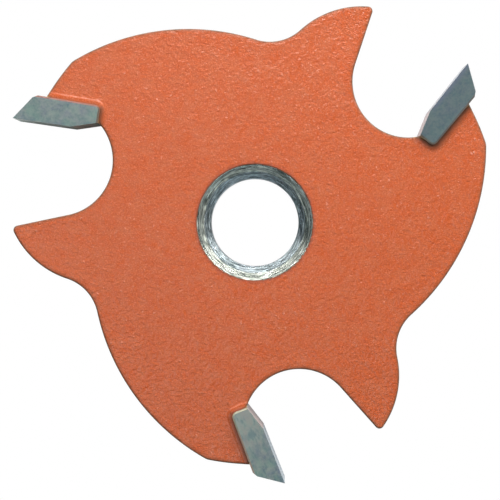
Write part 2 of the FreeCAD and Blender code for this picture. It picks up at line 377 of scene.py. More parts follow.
def cut_loops(rim, loops):
    """A rim and the loops that cut it, with their crossings put in, and the crossings."""
    cuts, rim_cuts = [], []
    for loop in loops:
        first, second = crossing(rim, loop)
        rim_cuts += first
        cuts.append(with_points(loop, second))
    marks = np.array([entry[0] for entry in rim_cuts])
    return clear_of(with_points(rim, rim_cuts), marks, reach=0.03), cuts, marks


TIP_LOOP = tip_outline(0.0, SEAT_SPACING)
seat_loop = tip_outline(BRAZE_GAP, SEAT_SPACING)
RIM, seats, outer_marks = cut_loops(
    outline(0.0, RIM_SPACING), [from_tip(seat_loop, number) for number in TIPS]
)
INNER_RIM, seats, inner_marks = cut_loops(outline(COAT, RIM_SPACING), seats)
# no other point close to where the film ends
film_ends = np.concatenate((outer_marks, inner_marks))
SEATS = [clear_of(seat, film_ends, reach=0.085) for seat in seats]


def ragged_hole(count, amplitude, seed):
    """The edge of the coating round the bore, a little torn where the cutter left it."""
    angles, ring = circle(count)
    edge = ring * BEVEL_RADIUS
    coarse = fractal(edge, scale=1.1, seed=seed, octaves=2)
    fine = fractal(edge, scale=0.16, seed=seed + 3, octaves=2)
    torn = np.clip(fractal(edge, scale=2.2, seed=seed + 5, octaves=1) + 0.1, 0, 1)
    # round one direction, in degrees, the cutter chattered and left small teeth
    middle, width, tooth_rate = 322, 24, 76
    span = np.exp(-(((np.degrees(angles) - middle + 180) % 360 - 180) / width) ** 2)
    teeth = np.abs(((angles * tooth_rate + 0.8 * coarse) / math.pi) % 2 - 1) - 0.35
    rough = np.maximum(fine, -0.35) * (0.35 + 1.6 * torn)
    radius = COAT_HOLE + amplitude * (0.35 * coarse + rough + 1.3 * span * teeth)
    return ring * radius[:, None]


def hole_radius(hole, angles):
    """The radius of the ragged hole at any angles."""
    return np.interp(angles % FULL_TURN, circle(len(hole))[0], radii(hole), period=FULL_TURN)


def hex_grid(pitch, seed):
    """A jittered grid in staggered rows, covering the disc."""
    rng = np.random.default_rng(seed)
    rows = int(GRID_RADIUS / (pitch * 0.866)) + 1
    out = []
    for j in range(-rows, rows + 1):
        x = np.arange(-GRID_RADIUS, GRID_RADIUS, pitch) + (j % 2) * pitch / 2
        out.append(np.stack((x, np.full(len(x), j * pitch * 0.866)), -1))
    grid = np.concatenate(out)
    return grid + (rng.random(grid.shape) - 0.5) * pitch * GRID_JITTER


def triangulate(rim, holes, interior):
    """Points and counter-clockwise triangles of what is inside rim and outside the holes."""
    points, edges = [], []
    for loop in [rim] + holes:
        base = len(points)
        points += [Vector(p) for p in loop]
        edges += [(base + i, base + (i + 1) % len(loop)) for i in range(len(loop))]
    points += [Vector(p) for p in interior]
    flat, _, faces, *_ = delaunay_2d_cdt(points, edges, [], 0, 1e-7, False)
    flat = np.array([tuple(p) for p in flat])
    tri = np.array([face for face in faces if len(face) == 3])
    middle = flat[tri].mean(1)
    keep = inside(middle, rim)
    for hole in holes:
        keep &= ~inside(middle, hole)
    tri = tri[keep]
    # weld what the triangulation left a hair apart
    cells = np.round(flat / 2e-5).astype(int)
    _, first, back = np.unique(cells, axis=0, return_index=True, return_inverse=True)
    tri = first[back.reshape(-1)[tri]]
    tri = tri[(tri[:, 0] != tri[:, 1]) & (tri[:, 1] != tri[:, 2]) & (tri[:, 2] != tri[:, 0])]
    used = np.unique(tri)
    remap = np.full(len(flat), -1)
    remap[used] = np.arange(len(used))
    flat, tri = flat[used], remap[tri]
    a, b, c = flat[tri[:, 0]], flat[tri[:, 1]], flat[tri[:, 2]]
    ab, ac = b - a, c - a
    flip = ab[:, 0] * ac[:, 1] - ab[:, 1] * ac[:, 0] < 0
    tri[flip] = tri[flip][:, ::-1]
    return flat, tri


def border(tri):
    """Directed edges that only one triangle has, with the mesh on their left."""
    edges = np.concatenate((tri[:, [0, 1]], tri[:, [1, 2]], tri[:, [2, 0]]))
    keys = {(int(a), int(b)) for a, b in edges}
    return [(a, b) for a, b in keys if (b, a) not in keys]


# ---- objects -------------------------------------------------------------------------------
def add_object(name, data):
    obj = bpy.data.objects.new(name, data)
    bpy.context.scene.collection.objects.link(obj)
    return obj


class Shape:
    """Vertices and faces gathered part by part."""

    def __init__(self):
        self.parts, self.faces, self.count = [], [], 0

    def add(self, points):
        """Adds vertices and returns the index of the first."""
        self.parts.append(points)
        self.count += len(points)
        return self.count - len(points)

    def add_sheet(self, tri, first, flip=False):
        self.faces += ((tri[:, ::-1] if flip else tri) + first).tolist()

    def make(self, name, material, marks=None):
        mesh = bpy.data.meshes.new(name)
        mesh.from_pydata([tuple(v) for v in np.concatenate(self.parts) * MM], [], self.faces)
        for key, values in (marks or {}).items():
            attribute = mesh.attributes.new(key, "FLOAT", "POINT")
            attribute.data.foreach_set("value", np.asarray(values, np.float32))
        mesh.validate()
        mesh.update()
        for polygon in mesh.polygons:
            polygon.use_smooth = True
        mesh.set_sharp_from_angle(angle=SHARP_ANGLE)
        mesh.materials.append(material)
        return add_object(name, mesh)


# ---- materials -----------------------------------------------------------------------------
class Nodes:
    """Short calls for building a node tree; a value may be a number or another output."""

    def __init__(self, owner):
        owner.use_nodes = True
        self.tree = owner.node_tree
        self.tree.nodes.clear()

    def put(self, value, socket):
        if isinstance(value, bpy.types.NodeSocket):
            self.tree.links.new(value, socket)
        else:
            socket.default_value = value

    def node(self, kind, inputs=None, **settings):
        node = self.tree.nodes.new("ShaderNode" + kind)
        for name, value in settings.items():
            setattr(node, name, value)
        for socket, value in (inputs or {}).items():
            self.put(value, node.inputs[socket])
        return node

    def math(self, operation, a, b=0.0):
        return self.node("Math", {0: a, 1: b}, operation=operation).outputs[0]

    def times(self, a, b):
        return self.math("MULTIPLY", a, b)

    def scaled(self, value, by, plus):
        inputs = {0: value, 1: by, 2: plus}
        return self.node("Math", inputs, operation="MULTIPLY_ADD").outputs[0]

    def remap(self, value, over, to=(0.0, 1.0), smooth=False):
        """The value's range over, carried to the range to and clamped."""
        inputs = dict(enumerate((value, *over, *to)))
        kind = "SMOOTHSTEP" if smooth else "LINEAR"
        return self.node("MapRange", inputs, clamp=True, interpolation_type=kind).outputs[0]

    def mix(self, factor, a, b, blend="MIX"):
        inputs = {0: factor, 6: a, 7: b}
        return self.node("Mix", inputs, data_type="RGBA", blend_type=blend).outputs[2]

    def split(self, vector):
        return self.node("SeparateXYZ", {0: vector}).outputs

    def join(self, x, y, z):
        return self.node("CombineXYZ", {0: x, 1: y, 2: z}).outputs[0]


class Material(Nodes):
    """A material with one Principled shader, whose textures lie in object coordinates."""

    def __init__(self, name):
        self.material = bpy.data.materials.new(name)
        super().__init__(self.material)
        self.bsdf = self.node("BsdfPrincipled")
        self.out = self.node("OutputMaterial", {0: self.bsdf.outputs[0]})
        self.coord = self.node("TexCoord").outputs["Object"]

    def shade(self, **values):
        """Sets the shader's inputs, named with underscores for spaces."""
        for name, value in values.items():
            self.put(value, self.bsdf.inputs[name.replace("_", " ")])

    def noise(self, scale, detail, rough, vector=None):
        vector = self.coord if vector is None else vector
        inputs = {"Vector": vector, "Scale": scale, "Detail": detail, "Roughness": rough}
        return self.node("TexNoise", inputs).outputs["Fac"]

    def cells(self, scale, vector, smoothness=None):
        inputs = {"Vector": vector, "Scale": scale}
        feature = "F1"
        if smoothness is not None:
            inputs["Smoothness"] = smoothness
            feature = "SMOOTH_F1"
        return self.node("TexVoronoi", inputs, feature=feature).outputs["Distance"]

    def mapping(self, scale=(1, 1, 1), rotation=(0, 0, 0), vector=None):
        vector = self.coord if vector is None else vector
        inputs = {"Vector": vector, "Scale": scale, "Rotation": rotation}
        return self.node("Mapping", inputs).outputs[0]

    def bump(self, height, depth, strength=1.0):
        """A bump of the given depth in mm."""
        inputs = {"Strength": strength, "Distance": depth * MM, "Height": height}
        return self.node("Bump", inputs).outputs[0]

    def attribute(self, name):
        return self.node("Attribute", attribute_name=name).outputs["Fac"]


def per_mm(count):
    """A texture scale for so many features per millimetre, in the row's metres."""
    return count / MM


def rgb(red, green, blue):
    """A display colour of 0 to 255 as linear light."""

    def linear(value):
        value /= 255.0
        return value / 12.92 if value <= 0.04045 else ((value + 0.055) / 1.055) ** 2.4

    return (linear(red), linear(green), linear(blue), 1.0)


def coating_material():
    mat = Material("fused_orange_film")
    drawn = mat.mapping(scale=(0.95, 1.07, 1.0))
    warp = mat.noise(scale=per_mm(1.6), detail=2.0, rough=0.5)
    grain = mat.noise(scale=per_mm(3.4), detail=1.5, rough=0.5, vector=drawn)
    fine = mat.noise(scale=per_mm(8.0), detail=2.0, rough=0.6, vector=drawn)
    # object coordinates pushed about by up to half a millimetre
    push = {0: mat.join(warp, grain, fine), 1: (0.5 * MM,) * 3, 2: mat.coord}
    bent = mat.node("VectorMath", push, operation="MULTIPLY_ADD").outputs[0]
    pebble = mat.cells(scale=per_mm(2.9), vector=bent, smoothness=0.6)
    cloud = mat.noise(scale=per_mm(0.9), detail=3.0, rough=0.7)
    # here and there a grain of the powder stands proud; the lighter pink laid on it is a
    # painted glint
    glint_spots = mat.remap(mat.cells(scale=per_mm(1.7), vector=bent), over=(0.24, 0.04), smooth=True)
    speck = mat.times(glint_spots, mat.remap(warp, over=(0.44, 0.56)))
    base = mat.mix(mat.remap(cloud, over=(0.34, 0.66)), rgb(183, 83, 43), rgb(182, 92, 57))
    # the powder's grains differ a little in colour as well as in height
    darker, lighter = (0.90, 0.88, 0.87, 1.0), (1.10, 1.12, 1.13, 1.0)
    shade = mat.mix(mat.remap(fine, over=(0.36, 0.64)), darker, lighter)
    base = mat.mix(1.0, base, shade, blend="MULTIPLY")
    base = mat.mix(mat.times(speck, 0.45), base, rgb(216, 142, 116))
    # darker and redder where it was drawn thin beside the bore
    patch_noise = mat.noise(scale=per_mm(1.7), detail=3.0, rough=0.65)
    base = mat.mix(mat.times(mat.attribute("thin"), 0.55), base, rgb(156, 58, 44))
    # down the rim it is a little darker and browner, and over the sharp edges darker still
    rim_tone = mat.remap(patch_noise, over=(0.3, 0.7), to=(0.35, 0.75))
    base = mat.mix(mat.times(mat.attribute("side"), rim_tone), base, rgb(124, 66, 46))
    browning = mat.remap(patch_noise, over=(0.30, 0.60), to=(0.6, 1.0))
    edge_dark = mat.times(mat.attribute("edge_dark"), browning)
    base = mat.mix(edge_dark, base, rgb(74, 66, 48))
    # a painted shadow beside the tips, deepest on the sides turned from the light
    patchy = mat.remap(patch_noise, over=(0.30, 0.70), to=(0.88, 1.10))
    tip_shadow = mat.times(mat.attribute("tip_shadow"), patchy)
    base = mat.mix(tip_shadow, base, rgb(44, 46, 36))
    gloss = mat.remap(fine, over=(0.3, 0.7), to=(0.18, 0.30))
    dull = mat.math("MAXIMUM", edge_dark, tip_shadow)
    height = mat.scaled(grain, by=0.9, plus=mat.times(fine, 0.26))
    height = mat.scaled(pebble, by=0.25, plus=height)
    height = mat.scaled(speck, by=0.30, plus=height)
    # nearly smooth over the pads of brazing
    height = mat.times(height, mat.scaled(mat.attribute("pad"), by=-0.85, plus=1.0))
    mat.shade(
        Base_Color=base,
        Roughness=mat.scaled(dull, by=0.30, plus=gloss),
        Specular_IOR_Level=mat.scaled(dull, by=-0.35, plus=0.5),
        Normal=mat.bump(height, depth=0.080),
    )
    return mat.material


def steel_material():
    mat = Material("turned_steel")
    x, y, z = mat.split(mat.coord)
    radius = mat.math("SQRT", mat.math("ADD", mat.times(x, x), mat.times(y, y)))
    cos, sin = mat.math("DIVIDE", x, radius), mat.math("DIVIDE", y, radius)
    depth = mat.math("ADD", mat.times(radius, 0.8), mat.times(z, 0.6))

    def around(turning, across, detail, rough):
        """Noise drawn out round the bore: its rate round the circle, and per mm of depth."""
        place = mat.join(
            mat.times(cos, turning), mat.times(sin, turning), mat.times(depth, per_mm(across))
        )
        return mat.noise(scale=1.0, detail=detail, rough=rough, vector=place)

    rings = around(turning=3.4, across=13.0, detail=3.0, rough=0.70)
    long = around(turning=1.3, across=4.0, detail=2.0, rough=0.5)
    torn = around(turning=8.0, across=9.0, detail=2.0, rough=0.6)
    blotch = mat.noise(scale=per_mm(1.4), detail=3.0, rough=0.6)
    colour = mat.mix(mat.remap(rings, over=(0.40, 0.63)), rgb(70, 77, 75), rgb(232, 235, 228))
    tearing = mat.remap(torn, over=(0.50, 0.68), to=(0.0, 0.55))
    colour = mat.mix(tearing, colour, rgb(92, 101, 96))
    blotches = mat.remap(blotch, over=(0.45, 0.7), to=(0.0, 0.45))
    colour = mat.mix(blotches, colour, rgb(104, 114, 105))
    # short bright scratches where the tool dragged
    streaks = around(turning=5.0, across=17.0, detail=1.0, rough=0.5)
    breaks = around(turning=2.2, across=5.0, detail=1.0, rough=0.5)
    drag = mat.times(
        mat.remap(streaks, over=(0.625, 0.68)), mat.remap(breaks, over=(0.44, 0.56))
    )
    # and a painted highlight in broken dashes along the arris, in a narrow band just outside
    # the inner bevel
    off_arris = mat.math("ABSOLUTE", mat.math("SUBTRACT", radius, 4.69 * MM))
    arris = mat.remap(off_arris, over=(0.16 * MM, 0.03 * MM))
    nicks = around(turning=5.0, across=20.0, detail=1.0, rough=0.4)
    arris_glint = mat.times(arris, mat.remap(nicks, over=(0.605, 0.645)))
    drag = mat.math("MAXIMUM", drag, arris_glint)
    colour = mat.mix(mat.times(drag, 0.85), colour, rgb(226, 234, 222))
    # the steeper inner bevel is a shade bluer, a painted tint of the cooler light it reflects
    inner = mat.remap(radius, over=(4.66 * MM, 4.50 * MM), smooth=True)
    bluer = mat.mix(1.0, colour, (0.91, 1.0, 1.17, 1.0), blend="MULTIPLY")
    gloss = mat.remap(long, over=(0.3, 0.7), to=(0.18, 0.36))
    height = mat.scaled(long, by=0.7, plus=mat.times(torn, 0.5))
    height = mat.scaled(rings, by=1.0, plus=height)
    mat.shade(
        Base_Color=mat.mix(inner, colour, bluer),
        Metallic=mat.scaled(drag, by=-0.85, plus=1.0),
        Roughness=mat.scaled(drag, by=0.20, plus=gloss),
        Normal=mat.bump(height, depth=0.070),
    )
    return mat.material


# each tip's colours and how strongly they show:
# dark, pale: the mottling   violet, tint: a second colour, and its strength
# heat: the tint by the cutting edge   broken: the sides' broken edges, whose colour tip by tip paints in the light they catch
# cream, cream_from: a painted highlight on those edges, and how far along the tip it starts
# rake, bevel: the upright face, and the bevel at its inner end, with the pale floor's
# reflection painted in, brightest on tip 3
CARBIDE = (
    dict(dark=(103, 120, 129), pale=(131, 144, 142), violet=(126, 123, 144), tint=0.40,
         heat=1.0, broken=(98, 94, 92), cream=0.35, cream_from=7.6,
         rake=(150, 158, 169), bevel=(164, 154, 160)),
    dict(dark=(101, 119, 127), pale=(133, 145, 143), violet=(124, 123, 144), tint=0.50,
         heat=0.15, broken=(126, 90, 82), cream=0.20, cream_from=8.0,
         rake=(136, 154, 150), bevel=(132, 130, 116)),
    dict(dark=(88, 110, 124), pale=(146, 152, 148), violet=(104, 116, 136), tint=0.75,
         heat=0.45, broken=(172, 150, 136), cream=0.95, cream_from=6.2,
         rake=(162, 176, 188), bevel=(184, 164, 162)),
)


def carbide_material(number):
    mat = Material("ground_carbide_%d" % number)
    look = CARBIDE[number - 1]
    x, y, z = mat.split(mat.coord)

    def along(direction):
        """Distance in mm from the tip's point, along a direction of its own frame."""
        turned = turn(direction, WING_TURN * (number - 1)) / MM
        sweep = mat.scaled(x, by=float(turned[0]), plus=mat.times(y, float(turned[1])))
        return mat.math("ADD", sweep, -float(TIP_SPOT @ direction))

    inwards, backwards = along(FACE_DIR), along(BACK_DIR)
    local = mat.join(inwards, backwards, mat.times(z, 1.0 / MM))
    shifted = mat.mapping(rotation=(0.4 * number, 0.0, 0.0), vector=local)
    mottle = mat.noise(scale=1.5, detail=3.0, rough=0.6, vector=shifted)
    rolled = mat.mapping(rotation=(0.3, 0.8, 1.9), vector=shifted)
    tint = mat.noise(scale=0.9, detail=2.0, rough=0.5, vector=rolled)
    grit = mat.noise(scale=16.0, detail=2.0, rough=0.6, vector=local)
    speck = mat.noise(scale=4.2, detail=2.0, rough=0.6, vector=local)
    mottling = mat.remap(mottle, over=(0.36, 0.64))
    colour = mat.mix(mottling, rgb(*look["dark"]), rgb(*look["pale"]))
    greener = mat.remap(tint, over=(0.46, 0.64), to=(0.0, look["tint"]))
    colour = mat.mix(greener, colour, rgb(112, 144, 135))
    more_violet = mat.remap(tint, over=(0.46, 0.32), to=(0.0, look["tint"]))
    colour = mat.mix(more_violet, colour, rgb(*look["violet"]))
    specks = mat.remap(speck, over=(0.36, 0.64), to=(0.0, 0.45))
    colour = mat.mix(specks, colour, rgb(151, 156, 148))
    if number == 3:  # this one is brighter towards its inner end, a painted gradient of light, and warmer there in patches
        lit_inner_end = mat.remap(inwards, over=(3.0, 6.6), to=(0.15, 0.60))
        colour = mat.mix(lit_inner_end, colour, rgb(170, 170, 162))
        drawn = mat.mapping(scale=(0.7, 1.6, 1.0), rotation=(1.1, 0.3, 0.0), vector=local)
        patch = mat.noise(scale=1.3, detail=2.0, rough=0.6, vector=drawn)
        warmer = mat.remap(patch, over=(0.48, 0.62), to=(0.0, 0.45))
        warmer = mat.times(warmer, mat.remap(inwards, over=(2.5, 5.0)))
        colour = mat.mix(warmer, colour, rgb(168, 156, 150))
        cooler = mat.remap(patch, over=(0.46, 0.34), to=(0.0, 0.5))
        colour = mat.mix(cooler, colour, rgb(92, 118, 128))
    if number == 1:  # and this one a little darker, a painted shade for a face turned from the light
        colour = mat.mix(0.45, colour, rgb(88, 108, 120))
    # a faint heat tint beside the cutting edge
    heat = mat.remap(backwards, over=(0.55, 0.05), to=(0.0, 0.5), smooth=True)
    heat = mat.times(heat, mat.remap(inwards, over=(5.6, 4.6)))
    colour = mat.mix(mat.times(heat, look["heat"]), colour, rgb(124, 128, 154))
    # the broken edge of a side face is matt, and round the inner end it carries a painted cream
    # highlight
    normal = mat.node("NewGeometry").outputs["True Normal"]
    lean = mat.math("ABSOLUTE", mat.split(normal)[2])
    broken = mat.times(mat.remap(lean, over=(0.55, 0.80)), mat.remap(lean, over=(0.985, 0.95)))
    start = look["cream_from"]
    edge_glint = mat.scaled(mottle, by=1.6, plus=inwards)
    edge_glint = mat.remap(edge_glint, over=(start, start + 1.0), to=(0.0, look["cream"]))
    cream = mat.times(broken, edge_glint)
    colour = mat.mix(broken, colour, rgb(*look["broken"]))
    colour = mat.mix(cream, colour, rgb(166, 162, 142))
    if number == 2:  # a painted shadow on its broken edges at its inner end
        end_shadow = mat.times(broken, mat.remap(inwards, over=(7.35, 7.5)))
        colour = mat.mix(end_shadow, colour, rgb(94, 84, 76))
    # the upright faces scatter more light, and their colours carry a painted reflection of the
    # pale floor
    flat = mat.remap(lean, over=(0.30, 0.70))
    bevel = mat.remap(inwards, over=(FACE_LENGTH - 0.10, FACE_LENGTH + 0.10))
    upright = mat.mix(bevel, rgb(*look["rake"]), rgb(*look["bevel"]))
    darker, lighter = (0.88, 0.88, 0.88, 1.0), (1.10, 1.08, 1.06, 1.0)
    clouding = mat.mix(mat.remap(mottle, over=(0.3, 0.7)), darker, lighter)
    upright = mat.mix(1.0, upright, clouding, blend="MULTIPLY")
    metal = mat.scaled(flat, by=0.50, plus=0.35)
    # the side faces are ground matt
    gloss = mat.remap(grit, over=(0.3, 0.7), to=(0.30, 0.42))
    gloss = mat.scaled(flat, by=0.08, plus=gloss)
    # grinding lines along the length of the side faces, and hardly any on the upright ones
    drawn_out = mat.mapping(scale=(1.3, 15.0, 15.0), vector=local)
    lines = mat.noise(scale=1.0, detail=2.0, rough=0.6, vector=drawn_out)
    height = mat.scaled(grit, by=0.6, plus=mat.times(lines, 0.7))
    height = mat.times(height, mat.scaled(flat, by=0.85, plus=0.15))
    mat.shade(
        Base_Color=mat.mix(flat, upright, colour),
        Metallic=mat.scaled(broken, by=-0.55, plus=metal),
        Roughness=mat.scaled(broken, by=0.20, plus=gloss),
        Normal=mat.bump(height, depth=0.006, strength=0.9),
    )
    return mat.material


def braze_material():
    mat = Material("coated_braze")
    flow = mat.noise(scale=per_mm(3.0), detail=3.0, rough=0.6)
    streaks = mat.remap(flow, over=(0.35, 0.65))
    mat.shade(
        Base_Color=mat.mix(streaks, rgb(150, 92, 58), rgb(186, 150, 96)),
        Metallic=0.35,
        Roughness=mat.remap(flow, over=(0.3, 0.7), to=(0.35, 0.6)),
        Normal=mat.bump(flow, depth=0.02, strength=0.8),
    )
    return mat.material


# ---- the coating: one closed film ----------------------------------------------------------
# by tip, how tall the pad of brazing stands behind it and past its inner end
PADS = ((0.085, 0.085), (0.085, 0.115), (0.085, 0.150))
# by tip, the painted shadow's depth behind it and past its inner end, then its reach in both
# places
TIP_SHADOW_DEPTH = ((0.80, 0.90), (0.25, 0.75), (0.50, 0.30))
TIP_SHADOW_REACH = ((0.60, 0.44), (0.22, 0.46), (0.36, 0.20))


def fillet_height(points, seed):
    """The film's extra height over the brazing near the tips, and how much painted shadow lies
    there.
    """
    total, tip_shadow = np.zeros(len(points)), np.zeros(len(points))
    for number in TIPS:
        local = to_tip(points, number)
        x, y = local[:, 0], local[:, 1]
        near = (x > 0) & (x < TIP_LENGTH + 1.6) & (y > -0.6) & (y < BACK_Y + 1.6)
        chosen = np.nonzero(near)[0]
        if not len(chosen):
            continue
        x, y = x[chosen], y[chosen]
        gap = np.maximum(distance(local[chosen], TIP_LOOP) - BRAZE_GAP, 0.0)
        # 0 behind the tip's back and 1 past its inner end
        inner = np.clip((x - TIP_LENGTH) / 0.25 + 0.5, 0, 1)
        inner = inner * np.clip((BACK_Y - y) / 0.3 + 0.6, 0, 1)

        def by_place(table):
            back, end = table[number - 1]
            return back + (end - back) * inner

        # the foot of the brazing shows as a step, and inside it the film rises to the tip
        wobble = fractal(points[chosen], scale=0.9, seed=seed + number, octaves=2)
        share = gap / (0.47 + 0.05 * wobble)
        step = by_place(PADS) * (1 + 0.2 * wobble) / (1 + np.exp((share - 0.94) / 0.11))
        total[chosen] += step + 0.055 * np.clip(1 - share, 0, 1)
        fade = np.clip(1 - gap / np.maximum(by_place(TIP_SHADOW_REACH), 0.05), 0, 1)
        tip_shadow[chosen] = np.maximum(tip_shadow[chosen], by_place(TIP_SHADOW_DEPTH) * fade)
    return total, tip_shadow


def thin_out(sets):
    """Drops points that crowd earlier ones; each set comes with its least spacing."""
    cell = 0.09
    cells, picked = {}, []
    for points, reach in sets:
        for x, y in points.tolist():
            column, row = math.floor(x / cell), math.floor(y / cell)
            crowded = any(
                abs(other_x - x) < reach and abs(other_y - y) < reach
                for i in (-1, 0, 1)
                for j in (-1, 0, 1)
                for other_x, other_y in cells.get((column + i, row + j), ())
            )
            if not crowded:
                cells.setdefault((column, row), []).append((x, y))
                picked.append((x, y))
    return np.array(picked)


def film_points(hole):
    """Points within the film's faces: a fine even grid, and rows that follow its edges."""
    grid = hex_grid(pitch=0.20, seed=5)
    grid = grid[inside(grid, RIM)]
    keep = (distance(grid, RIM) > 0.26) & (radii(grid) - COAT_HOLE > 0.14)
    for seat in SEATS:
        keep &= ~inside(grid, seat) & (distance(grid, seat) > 0.07)
    rows = []
    for inset in (0.011, 0.044, 0.095, 0.155):  # for the rim's rounded edge
        row = outline(inset, RIM_SPACING)
        good = distance(row, RIM) > inset * 0.97
        for seat in SEATS:
            good &= ~inside(row, seat) & (distance(row, seat) > 0.03)
        rows.append(row[good])
    for extra in (0.03, 0.08):  # round the bore, the rows staggered
        angles = circle(330)[0] + extra * 7
        radius = hole_radius(hole, angles) + extra
        rows.append(np.stack((np.cos(angles), np.sin(angles)), -1) * radius[:, None])
    for gap in (0.045, 0.10, 0.16, 0.23, 0.31, 0.40, 0.50):  # over the fillets
        local = tip_outline(BRAZE_GAP + gap, 0.12)
        local = local[(local[:, 0] > 2.0) & (local[:, 1] > 0.3)]
        for number in TIPS:
            row = from_tip(local, number)
            rows.append(row[inside(row, RIM) & (distance(row, RIM) > 0.19)])
    return thin_out([(np.concatenate(rows), 0.020), (grid[keep], 0.085)])


def edge_kinds(points, edges):
    """Which border each edge is on: rim, hole or seat."""
    middle = np.array([(points[a] + points[b]) / 2 for a, b in edges])
    kinds = np.full(len(middle), "rim", dtype=object)
    kinds[radii(middle) < BORE_LIMIT] = "hole"
    for seat in SEATS:
        kinds[distance(middle, seat) < 1e-4] = "seat"
    return kinds


def rounding(gap, radius):
    """How far a rounded edge has dropped at a distance from it."""
    left = radius - np.minimum(gap, radius)
    return radius - np.sqrt(np.maximum(radius**2 - left**2, 0))


def film_face(flat, to_rim, to_hole, seed):
    """One face's heights, its pad marks and its soot."""
    ripple = 0.008 * fractal(flat, scale=0.55, seed=seed, octaves=3)
    peel = ripple + 0.010 * fractal(flat, scale=2.4, seed=seed + 7, octaves=2)
    calm = np.clip(to_rim / 0.25, 0.15, 1) * np.clip(to_hole / 0.15, 0.15, 1)
    # a fused film draws up a little beside its edges
    build_up = 0.018 * np.exp(-((to_rim - 0.5) / 0.35) ** 2)
    fillet, tip_shadow = fillet_height(flat, seed)
    drop, drop_hole = rounding(to_rim, EDGE_RADIUS), rounding(to_hole, HOLE_LIP)
    height = Z_COAT + peel * calm - drop - drop_hole + build_up * (fillet < 0.02) + fillet
    return height, np.clip(fillet / 0.05, 0, 1), tip_shadow


def lean_to_tips(flat, vertices, to_rim):
    """The raised film leans over the joint and ends just short of the tip."""
    short = 0.018
    leaning = flat.copy()
    dense = search_tree(tip_outline(0.0, 0.01))
    for vertex in vertices:
        number = min(TIPS, key=lambda k: math.hypot(*(to_tip(flat[vertex], k) - (4.0, 1.2))))
        local = to_tip(flat[vertex], number)
        spot, _, gap = dense(local)
        spot = np.array(spot[:2])
        share = min(1.0, max(0.0, (to_rim[vertex] - 0.12) / 0.35))
        goal = spot + (local - spot) * (short / gap)
        leaning[vertex] = from_tip(local + (goal - local) * share, number)
    return leaning


def rim_side(flat, edges, top, bottom):
    """The rim's vertices between the faces, level by level, and the face vertices' order."""
    vertices = sorted({vertex for edge in edges for vertex in edge})
    outward = np.zeros_like(flat)
    for a, b in edges:
        right = -left_of(unit(flat[b] - flat[a]))
        outward[a] += right
        outward[b] += right
    between = RIM_LEVELS - 1
    z0, z1 = top[vertices][:, None], bottom[vertices][:, None]
    z = z0 + (z1 - z0) * np.arange(1, RIM_LEVELS) / RIM_LEVELS
    side = np.column_stack((np.repeat(flat[vertices], between, axis=0), z.ravel()))
    stretched = side * np.array((1, 1, 0.45))
    lay = 0.010 * fractal(stretched, scale=0.5, seed=77, octaves=3) - 0.006
    outward = np.repeat([unit(outward[vertex]) for vertex in vertices], between, axis=0)
    side[:, :2] += outward * lay[:, None]
    return side, vertices


